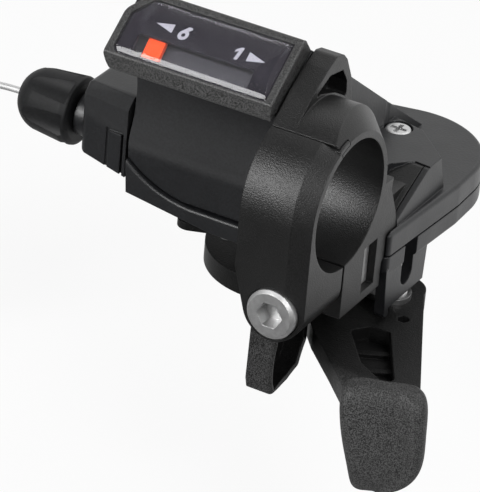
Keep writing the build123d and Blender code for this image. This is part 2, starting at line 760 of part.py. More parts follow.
def spiral(r0, r1, turns):
    """Centre line of a flat spiral spring, as half circles that grow step by step."""
    steps = round(2 * turns)
    grow = (r1 - r0) / steps
    edges = []
    x = r0
    side = 1
    for k in range(steps):
        r = r0 + grow * (k + 0.5)
        end = x - side * 2 * r
        edges.append(ThreePointArc((x, 0), ((x + end) / 2, side * r), (end, 0)))
        x = end
        side = -side
    return edges


def flat_spring(r0, r1, turns, leaf, z0, z1):
    """Spiral spring about the axle, with a short straight tail at its outer end."""
    band = trace(spiral(r0, r1, turns), leaf)
    return along_z(Pos(*axle_xy) * band, z0, z1)


def spool_spring():
    z0 = spool_top + clear
    return flat_spring(collar_r + clear + 0.3, flange_r - 2.6, 2.5, 0.5, z0, z0 + spool_spring_h)


def lever_spring():
    inner = axle_r + clear + 0.9
    outer = cap_r - cap_wall - clear - 0.4
    return flat_spring(inner, outer, 3.0, 0.7, cap_z + cap_wall, cap_z1 - 0.5)


def washer_face():
    return Pos(*axle_xy) * (Circle(washer_r) - Circle(axle_r + run))


def thrust_washer():
    return along_z(washer_face(), release_z1 + run, ratchet_z0 - end_play - run)


def lever_washer():
    return along_z(washer_face(), lever_plate_z1 + run, release_z0 - run)


# Levers and pawls
def main_lever():
    """Moulded thumb lever: ribbed hub and arm with a window, and a dished paddle at its end."""
    ear = (rivet_x - 0.2, rivet_y + 3.2)
    plan = links((axle_xy, lever_hub_r), (ear, 4.4))
    plan += poly([(-17.2, 24.3), (ear[0] + 3.9, ear[1] + 1.4), (15.2, 13.3), (22.6, -1.6), (22.0, -5.4),
                  (13.2, -8.4), (6.1, -1.1), (-0.9, 5.8), (-9.2, 15.8)])
    lever = along_z(plan, lever_z0, lever_plate_z0)
    lever += along_z(plan - offset(plan, -lever_rim_w), lever_rim_z, lever_z0)
    window = poly([(4.0, 9.5), (6.1, 12.5), (9.6, 12.9), (17.0, 0.2), (16.4, -2.0), (10.2, 1.6)])
    window = fillet(window.vertices(), 0.9)
    lever -= along_z(window, lever_rim_z - 1, lever_plate_z0 + 1)
    for x, y in ((8.8, 8.5), (11.6, 3.9)):
        bar = Pos(x, y) * Rot(0, 0, 28) * Rectangle(11.0, 1.2)
        lever += along_z(bar & offset(window, 0.8), lever_rim_z, lever_z0 + 0.2)
    lever += along_z(offset(window, 0.8), lever_rim_z, lever_rim_z + window_floor)
    lever += paddle()
    lever -= rod_z(*axle_xy, axle_r + run, lever_rim_z - 1, lever_plate_z1)
    lever -= rod_z(rivet_x, rivet_y, rivet_r, lever_rim_z - 1, lever_plate_z1)
    hex_hole = Pos(9.4, 17.7) * RegularPolygon(1.1, 6)
    lever -= along_z(hex_hole, lever_rim_z - 1, lever_plate_z1)
    return lever


def pad_section(x, y, z, wide, thick):
    """Section of the thumb pad: dished towards the rider, with a lip along its outboard edge."""
    a = wide / 2
    b = thick / 2
    shape = [(-a, 0), (-0.86 * a, -0.72 * b), (-0.45 * a, -0.78 * b), (0.1 * a, -0.62 * b),
             (0.5 * a, -0.66 * b), (0.74 * a, -1.0 * b), (0.93 * a, -0.8 * b), (a, 0), (0.86 * a, 0.8 * b),
             (0, b), (-0.86 * a, 0.8 * b)]
    face = make_face(Spline(*shape, periodic=True))
    return (Pos(x, y, z) * Rot(0, 0, pad_turn) * face).face()


def paddle():
    """Thumb pad, lofted from its crest to its rounded foot."""
    sections = [(18.9, -7.0, -24.9, 11.0, 2.8), (19.1, -7.4, -26.2, 13.4, 5.4),
                (19.6, -7.8, -31.0, 13.8, 6.4), (20.3, -8.0, -36.0, 12.8, 6.0),
                (20.2, -8.0, -40.0, 10.6, 5.0), (19.2, -8.0, -42.6, 7.4, 3.6), (18.4, -8.0, -43.9, 3.8, 1.6)]
    return loft([pad_section(*s) for s in sections])


def lever_plate():
    """Steel plate on the lever: it carries the drive pawl and is riveted to the moulding."""
    pin_at = polar(pawl_r, pawl_angle)
    plan = links((axle_xy, 7.6), (pin_at, pawl_pin_r + 1.5))
    plan += links((axle_xy, 6.0), ((rivet_x, rivet_y), rivet_head_r + 0.7))
    plan -= Pos(*axle_xy) * Circle(axle_r + run)
    plan -= Pos(*pin_at) * Circle(pawl_pin_r)
    plan -= Pos(rivet_x, rivet_y) * Circle(rivet_r)
    return along_z(plan, lever_plate_z0, lever_plate_z1)


def lever_rivet():
    head = rod_z(rivet_x, rivet_y, rivet_head_r, lever_plate_z1, lever_plate_z1 + 0.6)
    head = fillet(head.edges().group_by(Axis.Z)[-1], 0.4)
    return head + rod_z(rivet_x, rivet_y, rivet_r, lever_z0 - 0.6, lever_plate_z1)


def pawl_pin():
    return rod_z(*polar(pawl_r, pawl_angle), pawl_pin_r, lever_plate_z0, ratchet_z1 - end_play)


def pawl(pivot_r, pivot_angle, bore):
    """Pawl with a round eye and a nose that points along the ratchet."""
    eye = polar(pivot_r, pivot_angle)
    nose = polar(tooth_tip + clear + pawl_nose, pivot_angle + pawl_reach)
    middle = polar(pivot_r + 0.6, pivot_angle + 0.55 * pawl_reach)
    plan = links((eye, pawl_eye), (middle, 1.5)) + links((middle, 1.5), (nose, pawl_nose))
    plan -= Pos(*eye) * Circle(bore)
    return along_z(plan, ratchet_z0, ratchet_z1 - 0.2)


def drive_pawl():
    return pawl(pawl_r, pawl_angle, pawl_pin_r + run)


def holding_pawl():
    body = pawl(hold_r, hold_angle, post_r + run)
    tail = polar(hold_r + 0.6, hold_angle + 0.55 * pawl_reach)
    return body + rod_z(*tail, 0.8, release_z0, ratchet_z0)


def holding_post():
    """Riveted post under the base plate that the holding pawl turns on."""
    at = polar(hold_r, hold_angle)
    post = rod_z(*at, post_r, release_z0 - 0.1, plate_z)
    return post + rod_z(*at, post_r + 0.8, plate_z, plate_z + 0.6)


def hairpin(at, loop_r, leaf, first, second, z0, z1):
    """Bent-wire spring: a loop round a post with two straight legs given as (angle, length)."""
    plan = Circle(loop_r + leaf) - Circle(loop_r)
    for angle, length in (first, second):
        leg = Pos(loop_r + leaf / 2, length / 2) * Rectangle(leaf, length)
        plan += Rot(0, 0, angle) * leg
    return along_z(Pos(*at) * plan, z0, z1)


def holding_spring():
    legs = (180, 6.0), (0, 5.0)
    z0, z1 = release_z0 + slip, ratchet_z0 - clear
    return hairpin(polar(hold_r, hold_angle), post_r + slip, hair_t, *legs, z0, z1)


def drive_spring():
    legs = (20, 4.6), (-100, 2.6)
    z1 = ratchet_z0 - slip
    return hairpin(polar(pawl_r, pawl_angle), pawl_pin_r + slip, hair_t, *legs, z1 - hair_w, z1)


def release_lever():
    """Pressed plate on the axle with a cam for the holding pawl and a moulded thumb pad below the clamp."""
    x0, x1 = -7.2, -2.5
    middle = (x0 + x1) / 2
    plan = links((axle_xy, 8.2), ((middle - 0.4, 5.0), 3.4))
    plan += links((axle_xy, 7.0), (polar(16.6, 218), 2.2))
    plan += poly([(x0 - 0.9, 5.0), (x1 + 0.2, 5.0), (x1, -3.8), (x0, -3.8)])
    plan -= Pos(*axle_xy) * Circle(axle_r + run)
    lever = along_z(plan, release_z0, release_z1)
    side = poly([(-3.9, release_z1), (-4.3, -34.4), (-3.6, -36.8), (2.3, -36.6), (5.9, -35.6), (8.0, -31.6),
                 (7.6, release_z1)])
    side = fillet(side.vertices().sort_by(Axis.Y)[:3] + side.vertices().sort_by(Axis.Y)[4:6], 1.0)
    pad = along_x(side, x0, x1)
    soft = [e for e in pad.faces().sort_by(Axis.X)[-1].edges() if e.center().Z < release_z1 - 0.1]
    pad = fillet(soft, 0.8)
    dish_r = 26.0
    pad -= Pos(x1 + dish_r - 1.0, 2.6, -31.5) * Sphere(dish_r)
    return lever + pad


def hub_cap():
    """Stepped round cap under the lever's hub: it houses the return spring."""
    bore = axle_r + run
    inner = cap_r - cap_wall
    half = [(bore, cap_z), (cap_r - 2.6, cap_z), (cap_r - 1.0, cap_z + 0.8), (cap_r, cap_z + 2.2),
            (cap_r, cap_z1), (inner, cap_z1), (inner, cap_z + cap_wall), (bore, cap_z + cap_wall)]
    cap = Pos(axle_x, axle_y, 0) * revolve(Plane.XZ * poly(half), Axis.Z, 360)
    return cap - rod_z(*axle_xy, axle_r + 2.2 + slip, cap_z - 1, cap_z + 1.0)


# Cable guide, adjuster and cable
def cable_guide():
    """Boxy boss that carries the adjuster, with a snap tab on its side and a spigot in the shell's wall."""
    plan = poly([(boss_x0, boss_front), (boss_x1, boss_front - boss_taper), (boss_x1, boss_back),
                 (boss_x0, boss_back - boss_taper)])
    low = wire_z - boss_low - boss_drop
    high = wire_z + boss_high
    side = poly([(boss_x0, low + boss_drop), (boss_x1, low), (boss_x1, high), (boss_x0, high)])
    boss = along_z(plan, low, high) & extrude(Plane.XZ * side, 2 * boss_back, both=True)
    boss = chamfer(boss.faces().sort_by(Axis.Z)[-1].edges().sort_by(Axis.Y)[0], boss_chamfer)
    boss = fillet(boss.faces().sort_by(Axis.X)[0].edges(), boss_round)
    tab_x = boss_x1 - tab_in
    tab = Pos(tab_x, (low + tab_top) / 2) * Rectangle(tab_w, tab_top - low)
    tab -= Pos(tab_x, (low + tab_top) / 2 - tab_groove) * Rectangle(tab_w - 2 * tab_groove, tab_top - low)
    boss -= extrude(Plane.XZ.offset(-boss_front + tab_groove) * tab, boss_front)
    boss -= along_z(pod_and_tower(clear), seam_z - 8, 20)
    collar = rod_x(wire_y, wire_z, collar_x_r, boss_x0 - collar_w, boss_x0 + boss_round)
    spigot = rod_x(wire_y, wire_z, spigot_r, boss_x1 - 1, tower_left + 3.5)
    boss = boss + collar + spigot
    boss -= rod_x(wire_y, wire_z, stem_r + run, boss_x0 - collar_w - 1, boss_x1 + 1)
    return boss - rod_x(wire_y, wire_z, wire_hole, boss_x1, tower_left + 8)


def pod_and_tower(grow):
    return offset(tower_plan() + pod_plan(), grow)


def adjuster_barrel():
    """Fluted knob with a threaded stem and a socket for the cable's outer casing."""
    x1 = knob_x1
    tip = boss_x1 - 3.4
    bottom = knob_x0 + socket_deep
    start = (knob_x0, socket_r + 0.8)
    shoulder_at = (knob_x0 + 3.4, knob_r - 0.7)
    nose = ThreePointArc(start, (knob_x0 + 1.2, knob_r - 1.6), shoulder_at)
    rest = Polyline(shoulder_at, (x1 - 1.6, knob_r), (x1 - 0.4, knob_r - 0.3), (x1, knob_r - 1.0),
                    (x1, stem_r), (tip - 0.6, stem_r), (tip, stem_r - 0.6), (tip, wire_hole),
                    (bottom, wire_hole),
                    (bottom, socket_r), (knob_x0, socket_r), start)
    knob = Pos(0, wire_y, wire_z) * revolve(Plane.XY * make_face([nose, rest]), Axis.X, 360)
    for k in range(knob_flutes):
        turn = Pos(0, wire_y, wire_z) * Rot(360 / knob_flutes * k + flute_turn, 0, 0)
        flute = along_x(Pos(0, knob_r - flute_deep + flute_r) * Circle(flute_r), knob_x0 - 1, x1 - 0.9)
        knob -= turn * flute
    return knob


def cable_inner():
    """Straight length of the wire inside the shifter."""
    return rod_x(wire_y, wire_z, wire_d / 2, knob_x0, axle_x)


def cable_wound():
    """Short length of the wire in the spool's groove, up to its head."""
    line = CenterArc((0, 0), spool_wire_r, 274, head_angle - 274 - 4)
    face = Plane(line @ 0, z_dir=line % 0) * Circle(wire_d / 2)
    return Pos(axle_x, axle_y, wire_z) * sweep(face, line)


def cable_head():
    """Cast head of the wire in its hole in the spool."""
    at = polar(spool_wire_r - 0.6, head_angle)
    head = rod_z(*at, head_r, wire_z - groove_w / 2 + slip, spool_top - 0.3)
    return head - cable_wound()


def cable_points():
    """Route of the free wire: straight out of the adjuster, then drooping to its coil."""
    return [(knob_x0, wire_y, wire_z), (-73.0, 18.0, -10.9), (-82.0, 18.1, -13.4), (-88.6, 18.2, -19.0),
            (-91.2, 18.3, -26.6), (coil_x + 6.0, 18.4, coil_z + coil_turn_r + coil_section / 2 - 0.6)]


def cable_run():
    points = cable_points()
    runs = [(Vector(*b) - Vector(*a)) for a, b in zip(points, points[1:])]
    radii = []
    for first, second in zip(runs, runs[1:]):
        turn = radians(first.get_angle(second))
        radii.append(0.45 * min(first.length, second.length) / tan(turn / 2))
    path = FilletPolyline(*points, radius=radii)
    print("cable bends", [round(r, 1) for r in radii], "length", round(path.length, 1))
    face = Plane(path @ 0, z_dir=path % 0) * Circle(wire_d / 2)
    return sweep(face, path)


def cable_coil():
    """Outer shape of the wound wire: one thick ring."""
    ring = Plane(origin=(coil_x, wire_y + 0.4, coil_z), x_dir=(1, 0, 0), z_dir=(0, 1, 0))
    hub = coil_turn_r - coil_section / 2
    return extrude(ring * (Circle(hub + coil_section) - Circle(hub)), coil_section / 2, both=True)


def cable_tie():
    """Strap round one side of the coil."""
    room = coil_section + 0.5
    around = Rectangle(room + 1.6, room + 1.6) - Rectangle(room, room)
    spot = Plane(origin=(coil_x - coil_turn_r, wire_y + 0.4, coil_z - 1.5), x_dir=(1, 0, 0), z_dir=(0, 0, 1))
    return extrude(spot * around, 3.0)


# Places that several pieces share
yoke_z = spool_top + clear + spool_spring_h + clear
insert_r = axle_r + 1.4
insert_z0 = yoke_z + yoke_t + clear
insert_z1 = insert_z0 + 4.0
spigot_r = 3.7
collar_x_r = 3.9
wire_hole = wire_d / 2 + clear
post_r = 1.8
pawl_pin_r = 1.5
rivet_r = 1.5
screw_sunk = 1.3
tray_hole_r = tray_screw_d / 2 + slip + 0.25
head_r = 1.6
head_angle = 305.0
arm_t = 1.8
yoke_half = pin_d / 2 + 0.33 + clear
yoke_rim = 1.0
yoke_end = 1.3
pin_x0 = axle_x - pin_r * sin(radians(clicks * click_deg / 2))
pointer_yoke_x = pin_x0 + yoke_half + yoke_rim
arm_u0, arm_u1 = 7.7, 9.7
arm_y, arm_w = 14.6, 2.2
pointer_x = -31.8
tooth_phase = pawl_angle + pawl_reach + 6.0
cover_screws_xy = [polar(pod_r - 5.5, 152.0, (pod_x, pod_y)), polar(nose_r - 8.0, 77.0, (nose_x, nose_y))]

clamp = [clamp_bracket, clamp_band, clamp_bolt, clamp_nut]
housing = [upper_cover, lower_cover, base_plate, cover_screw, tray_screws]
display = [display_housing, display_lens, dial_plate, gear_pointer]
works = [main_axle, axle_insert, cable_spool, ratchet_wheel, spool_spring, thrust_washer, lever_washer]
levers = [main_lever, lever_plate, lever_rivet, release_lever, hub_cap, lever_spring]
pawls = [pawl_pin, drive_pawl, drive_spring, holding_pawl, holding_post, holding_spring]
cable = [cable_guide, adjuster_barrel, cable_inner, cable_wound, cable_head, cable_run, cable_coil, cable_tie]

os.makedirs("parts", exist_ok=True)
for make in clamp + housing + display + works + levers + pawls + cable:
    export_step(make(), os.path.join("parts", make.__name__ + ".step"))
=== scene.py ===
import bpy
from math import cos, pi, radians, sin
from mathutils import Matrix, Vector


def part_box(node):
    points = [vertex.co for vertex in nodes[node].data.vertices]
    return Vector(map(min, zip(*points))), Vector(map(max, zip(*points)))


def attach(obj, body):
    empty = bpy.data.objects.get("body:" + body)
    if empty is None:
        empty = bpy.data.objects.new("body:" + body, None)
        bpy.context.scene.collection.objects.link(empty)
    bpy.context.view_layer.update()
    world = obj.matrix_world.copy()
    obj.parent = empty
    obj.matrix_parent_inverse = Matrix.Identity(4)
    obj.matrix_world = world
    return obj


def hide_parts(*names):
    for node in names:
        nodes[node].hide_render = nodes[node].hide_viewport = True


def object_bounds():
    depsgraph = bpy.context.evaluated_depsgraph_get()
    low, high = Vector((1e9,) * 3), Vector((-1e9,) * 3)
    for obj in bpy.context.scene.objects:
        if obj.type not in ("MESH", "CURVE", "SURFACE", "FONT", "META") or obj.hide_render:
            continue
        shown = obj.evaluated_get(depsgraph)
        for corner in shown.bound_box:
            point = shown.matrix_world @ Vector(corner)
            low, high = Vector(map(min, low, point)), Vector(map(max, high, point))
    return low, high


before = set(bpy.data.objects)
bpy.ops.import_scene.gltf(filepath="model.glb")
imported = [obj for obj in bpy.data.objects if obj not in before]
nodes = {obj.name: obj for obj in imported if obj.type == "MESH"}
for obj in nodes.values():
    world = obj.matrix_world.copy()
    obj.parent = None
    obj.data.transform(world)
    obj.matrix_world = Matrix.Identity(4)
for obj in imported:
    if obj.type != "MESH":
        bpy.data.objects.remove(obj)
cad_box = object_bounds()
scene = bpy.context.scene
scene.view_settings.view_transform = "Standard"
MM = 0.001

# Camera at the photograph's view: the picture's right and up in the part's own frame
VIEW_RIGHT = Vector((0.865, 0.497, 0.076))
VIEW_UP = Vector((-0.305, 0.398, 0.865))
VIEW_AIM = Vector((-6.75, -11.04, -6.75)) * MM
VIEW_DISTANCE = 600 * MM
VIEW_NEAREST = 10 * MM
FOCAL_PIXELS = 3843
PICTURE_PIXELS = 492
SENSOR = 36.0

# Shift wire and its coil: points and sizes in millimetres, the coil's first angle in degrees
WIRE_D = 1.2 * MM
WIRE_POINTS = [(-64.35, 18.0, -10.6), (-73.0, 18.0, -10.9), (-82.0, 18.1, -13.4), (-88.6, 18.2, -19.0),
               (-91.2, 18.3, -26.6), (-91.0, 18.4, -32.9)]
COIL_CENTRE = Vector((-97.0, 18.4, -47.5))
COIL_OUTER = 13.5
COIL_LAYERS = 5
COIL_LAYER_STEP = 1.3
COIL_TURNS = 6
COIL_TURN_STEP = 1.27
COIL_POINTS = 16
COIL_START = 62.0

# Display's face: a point of it and its tilt, the dial's depth below it, and the dial's window along x and u
FACE_Y = -4.4 * MM
FACE_Z = 15.1 * MM
FACE_TILT = radians(38.0)
DIAL_TOP = -1.0 * MM
WINDOW_X = (-33.4 * MM, -12.4 * MM)
WINDOW_U = (1.4 * MM, 5.0 * MM)
BACKING_N = -3.0 * MM
BACKING_T = 0.1 * MM
BACKING_MARGIN_X = 0.6 * MM
BACKING_MARGIN_U = 0.3 * MM

# Print on the dial: places as (x, u), and outlines about them in millimetres
INK_T = 0.01 * MM
INK_GAP = 0.001 * MM
ITALIC = 0.18
ARROW_HIGH_AT = (-29.9 * MM, 7.3 * MM)
ARROW_HIGH = [(-1.7, 0.1), (1.5, -0.75), (1.5, 0.75)]
ARROW_LOW_AT = (-13.1 * MM, 6.8 * MM)
ARROW_LOW = [(1.7, -0.1), (-1.5, 0.8), (-1.5, -0.8)]
SIX_AT = (-26.3 * MM, 7.2 * MM)
SIX_TAIL = [(0.86, 0.86), (0.66, 1.2), (0.06, 1.16)]
SIX_BOWL = (0.0, -0.36)
SIX_BOWL_R = 0.88
SIX_BOWL_ANGLES = (140, 420)
SIX_HOLE_R = 0.33
SIX_HOLE_ANGLES = (0, 340)
ONE_AT = (-16.4 * MM, 6.8 * MM)
ONE = [(-0.1, -1.1), (0.5, -1.1), (0.5, 1.1), (0.02, 1.1), (-0.66, 0.6), (-0.66, 0.06), (-0.1, 0.42)]

# Lever's window seen from above, and the wall that closes it below the lever's plate, in millimetres
LEVER_WINDOW = [(4.0, 9.5), (6.1, 12.5), (9.6, 12.9), (17.0, 0.2), (16.4, -2.0), (10.2, 1.6)]
WINDOW_WALL_Z = (-31.1, -30.3)
WINDOW_WALL_T = 0.8

# Release lever's pad in millimetres: its side below the plate as (y, z), its width and its wall
RELEASE_HEAD_Y = (-3.9, 7.6)
RELEASE_SIDE = [(-4.3, -34.4), (-3.6, -36.8), (2.3, -36.6), (5.9, -35.6), (8.0, -31.6)]
RELEASE_X = (-7.2, -2.5)
RELEASE_PLATE_T = 1.4
RELEASE_WALL = 0.9
HOLLOW_SPARE = 1.0

# Noise values between which a tone goes from dark to light, and the plastics' gloss clouds and waves
SPECK_SPAN = (0.32, 0.68)
CLOUD_SPAN = (0.3, 0.7)
CLOUD = 9 * MM
WAVE = 4 * MM
WAVE_DEPTH = 0.02 * MM

# Matt trough round the bar's axis, and where along Y a lever's arm turns into its pad, across which the
# levers' colour turns lighter as painted light on the pads
TROUGH_REACH = 12.5 * MM
TROUGH_FADE = 3.0 * MM
MATT = 0.8
PAD_Y = (-1.0 * MM, -6.0 * MM)

# Light in metres and watts: white behind the part along Y, and only FRONT_SHINE of it in front
FRONT_SHINE = 0.1
WORLD_LEVEL = 0.2
WORLD_BACK = 0.8
WORLD_FADE = (-0.1, 0.4)
FLOOR_BACK = 1.0
FLOOR_FADE = (-0.05, 0.12)
FLOOR_WHITE = 0.9
FLOOR_TONE = 0.86
FLOOR_ROUGH = 0.9
FLOOR_DROP = 4 * MM
FLOOR_REACH = 3.0
LAMP_AIM = Vector((-0.015, 0.01, -0.01))
LAMPS = [
    {"name": "key", "place": (-0.38, -0.75, 0.38), "size": 0.45, "power": 6.5},
    {"name": "side", "place": (0.62, -0.36, 0.55), "size": 0.35, "power": 4.5},
    {"name": "top", "place": (0.1, 0.4, 0.75), "size": 0.5, "power": 1.5},
]


def add_object(name, data):
    made = bpy.data.objects.new(name, data)
    scene.collection.objects.link(made)
    return made


def dress(thing, material):
    thing.data.materials.clear()
    thing.data.materials.append(material)


def turned(place, along, up, out):
    """Matrix that sets local X, Y and Z along three directions, at a place."""
    return Matrix.Translation(place) @ Matrix((along, up, out)).transposed().to_4x4()


# Camera
def add_camera():
    right = VIEW_RIGHT.normalized()
    up = (VIEW_UP - right * VIEW_UP.dot(right)).normalized()
    back = right.cross(up)
    data = bpy.data.cameras.new("camera")
    data.sensor_fit = "AUTO"
    data.sensor_width = SENSOR
    data.lens = FOCAL_PIXELS * SENSOR / PICTURE_PIXELS
    data.clip_start = VIEW_NEAREST
    camera = add_object("camera", data)
    camera.matrix_world = turned(VIEW_AIM + back * VIEW_DISTANCE, right, up, back)
    scene.camera = camera


# Shift wire: the free run, then the turns of its coil, as one spline
def coil_points():
    points = []
    last_turn = COIL_TURNS - 1
    half = COIL_TURN_STEP * last_turn / 2
    for k in range(COIL_LAYERS * COIL_TURNS * COIL_POINTS + 1):
        turn = k / COIL_POINTS
        layer = min(int(turn / COIL_TURNS), COIL_LAYERS - 1)
        within = turn - layer * COIL_TURNS
        # Each layer is a helix, and its last turn steps in to the next one
        step = max(0.0, within - last_turn)
        radius = COIL_OUTER - COIL_LAYER_STEP * (layer + step)
        across = -half + COIL_TURN_STEP * min(within, last_turn)
        if layer % 2:
            across = -across
        angle = radians(COIL_START) - 2 * pi * turn
        points.append(COIL_CENTRE + Vector((radius * cos(angle), across, radius * sin(angle))))
    return points


def add_wire():
    points = [Vector(p) for p in WIRE_POINTS] + coil_points()
    data = bpy.data.curves.new("shift_wire", "CURVE")
    data.dimensions = "3D"
    # Each point's radius carries the wire's size, so that the curve's own box fits it
    data.bevel_depth = 1.0
    data.bevel_resolution = 3
    data.use_fill_caps = True
    data.resolution_u = 4
    spline = data.splines.new("NURBS")
    spline.points.add(len(points) - 1)
    for place, point in zip(spline.points, points):
        place.co = (*(point * MM), 1.0)
        place.radius = WIRE_D / 2
    spline.order_u = 3
    spline.use_endpoint_u = True
    wire = add_object("shift_wire", data)
    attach(wire, "housing")
    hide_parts("cable_run", "cable_coil")
    return wire


# Node trees
class Nodes:
    """Node tree with short ways to add, join and remap nodes."""

    def __init__(self, tree):
        self.tree = tree
        self.place = self.add("ShaderNodeTexCoord").outputs

    def add(self, kind, **values):
        node = self.tree.nodes.new(kind)
        for key, value in values.items():
            setattr(node, key, value)
        return node

    def link(self, source, target):
        self.tree.links.new(source, target)

    def math(self, operation, first, second):
        node = self.add("ShaderNodeMath", operation=operation)
        self.link(first, node.inputs[0])
        if isinstance(second, float):
            node.inputs[1].default_value = second
        else:
            self.link(second, node.inputs[1])
        return node.outputs[0]

    def remap(self, source, span, low=0.0, high=1.0):
        """A value that goes from low to high as the source crosses the span."""
        node = self.add("ShaderNodeMapRange")
        for key, value in zip(("From Min", "From Max", "To Min", "To Max"), (*span, low, high)):
            node.inputs[key].default_value = value
        self.link(source, node.inputs["Value"])
        return node.outputs["Result"]

    def along_y(self, source, span, low=0.0, high=1.0):
        """The same along the Y axis of a place or direction."""
        split = self.add("ShaderNodeSeparateXYZ")
        self.link(source, split.inputs[0])
        return self.remap(split.outputs["Y"], span, low, high)


# Materials
class Finish(Nodes):
    """Material with one main shader, built up step by step."""

    def __init__(self, name):
        self.material = bpy.data.materials.new(name)
        self.material.use_nodes = True
        super().__init__(self.material.node_tree)
        self.shader = self.tree.nodes["Principled BSDF"]
        self.coords = self.place["Object"]

    def set(self, **values):
        for key, value in values.items():
            self.shader.inputs[key.replace("_", " ")].default_value = value

    def noise(self, size, detail=2.0, rough=0.55, stretch=None):
        """Noise whose lumps are about size metres across."""
        node = self.add("ShaderNodeTexNoise")
        node.inputs["Scale"].default_value = 1.0 / size
        node.inputs["Detail"].default_value = detail
        node.inputs["Roughness"].default_value = rough
        source = self.coords
        if stretch:
            mapping = self.add("ShaderNodeMapping")
            mapping.inputs["Scale"].default_value = stretch
            self.link(source, mapping.inputs["Vector"])
            source = mapping.outputs["Vector"]
        self.link(source, node.inputs["Vector"])
        return node.outputs["Fac"]

    def tones(self, source, dark, light, span=CLOUD_SPAN):
        """Colour that goes from dark to light as the source crosses the span."""
        node = self.add("ShaderNodeValToRGB")
        for element, position, colour in zip(node.color_ramp.elements, span, (dark, light)):
            element.position = position
            element.color = (*colour, 1.0)
        self.link(source, node.inputs["Fac"])
        return node.outputs["Color"]

    def blend(self, share, first, second):
        """First colour turning to the second as the share goes from 0 to 1."""
        node = self.add("ShaderNodeMix", data_type="RGBA")
        self.link(share, node.inputs["Factor"])
        self.link(first, node.inputs["A"])
        self.link(second, node.inputs["B"])
        return node.outputs["Result"]

    def matt_near_bar(self, source, reach):
        """A roughness that rises where the surface lies within reach of the bar's axis."""
        across = self.add("ShaderNodeMapping")
        across.inputs["Scale"].default_value = (0, 1, 1)
        self.link(self.coords, across.inputs["Vector"])
        away = self.add("ShaderNodeVectorMath", operation="LENGTH")
        self.link(across.outputs["Vector"], away.inputs[0])
        matt = self.remap(away.outputs["Value"], (reach, reach + TROUGH_FADE), MATT, 0.0)
        return self.math("MAXIMUM", source, matt)

    def colour(self, source):
        self.link(source, self.shader.inputs["Base Color"])

    def rough(self, source):
        self.link(source, self.shader.inputs["Roughness"])

    def relief(self, bumps, edge=0.0):
        """Bumps as (height source, depth in metres), over edges softened by a small radius."""
        normal = None
        if edge:
            bevel = self.add("ShaderNodeBevel", samples=4)
            bevel.inputs["Radius"].default_value = edge
            normal = bevel.outputs["Normal"]
        for source, depth in bumps:
            bump = self.add("ShaderNodeBump")
            bump.inputs["Strength"].default_value = 1.0
            bump.inputs["Distance"].default_value = depth
            self.link(source, bump.inputs["Height"])
            if normal is not None:
                self.link(normal, bump.inputs["Normal"])
            normal = bump.outputs["Normal"]
        self.link(normal, self.shader.inputs["Normal"])


def plastic(name, dark, light, rough, grain, grain_depth, edge=0.3 * MM, shine=0.5, matt_within=0.0,
            lit_pad_tones=None):
    """Moulded plastic: speckled colour, uneven gloss, a fine grain and softened edges.

    What lies nearer to the bar's axis than matt_within is left matt. The pads' colours, dark and light, are
    painted light: a lever's pad is painted lighter than its arm, as if a lamp in front lit it.
    """
    made = Finish(name)
    speck = made.noise(grain, detail=0.5, rough=0.5)
    tone = made.tones(speck, dark, light, SPECK_SPAN)
    # Painted light: along Y towards the pad the colour turns to the lighter pad colours, as if lit from the
    # front
    if lit_pad_tones:
        lit_pad_tone = made.tones(speck, *lit_pad_tones, SPECK_SPAN)
        tone = made.blend(made.along_y(made.coords, PAD_Y), tone, lit_pad_tone)
    made.colour(tone)
    gloss = made.remap(made.noise(CLOUD), CLOUD_SPAN, *rough)
    if matt_within:
        gloss = made.matt_near_bar(gloss, matt_within)
    made.rough(gloss)
    made.set(Specular_IOR_Level=shine)
    made.relief([(speck, grain_depth), (made.noise(WAVE, detail=1.0), WAVE_DEPTH)], edge)
    return made.material


def metal(name, dark, light, rough, scratch, stretch):
    """Plated or bare metal: uneven tone, brushed marks and slightly softened edges."""
    made = Finish(name)
    marks = made.noise(scratch, detail=4.0, rough=0.65, stretch=stretch)
    made.colour(made.tones(made.noise(1.5 * MM, detail=3.0), dark, light))
    made.rough(made.remap(marks, CLOUD_SPAN, *rough))
    made.set(Metallic=1.0)
    made.relief([(marks, 0.008 * MM)], edge=0.15 * MM)
    return made.material


def paint(name, dark, light, rough):
    """Printed ink or a matt moulded colour, a little uneven."""
    made = Finish(name)
    speck = made.noise(0.35 * MM, detail=3.0)
    made.colour(made.tones(speck, dark, light))
    made.rough(made.remap(speck, CLOUD_SPAN, rough, rough + 0.12))
    made.set(Specular_IOR_Level=0.2)
    made.relief([(speck, 0.006 * MM)])
    return made.material


def clear_plastic(name, dark, light, shadow):
    """Lens: clear and glossy, and it lets the lamps through to the dial."""
    made = Finish(name)
    haze = made.noise(2 * MM, detail=3.0)
    made.colour(made.tones(haze, dark, light))
    made.rough(made.remap(haze, CLOUD_SPAN, 0.03, 0.07))
    made.set(Transmission_Weight=1.0, IOR=1.5)
    made.relief([(made.noise(6 * MM, detail=1.0), 0.002 * MM)], edge=0.25 * MM)
    path = made.add("ShaderNodeLightPath")
    through = made.add("ShaderNodeBsdfTransparent")
    through.inputs["Color"].default_value = (*shadow, 1.0)
    mix = made.add("ShaderNodeMixShader")
    made.link(path.outputs["Is Shadow Ray"], mix.inputs["Fac"])
    made.link(made.shader.outputs["BSDF"], mix.inputs[1])
    made.link(through.outputs["BSDF"], mix.inputs[2])
    made.link(mix.outputs["Shader"], made.tree.nodes["Material Output"].inputs["Surface"])
    return made.material


def grey(level, tint=0.0):
    """Grey of a level, turned a little to blue by a tint."""
    return (level * (1 - tint), level, level * (1 + 3 * tint))


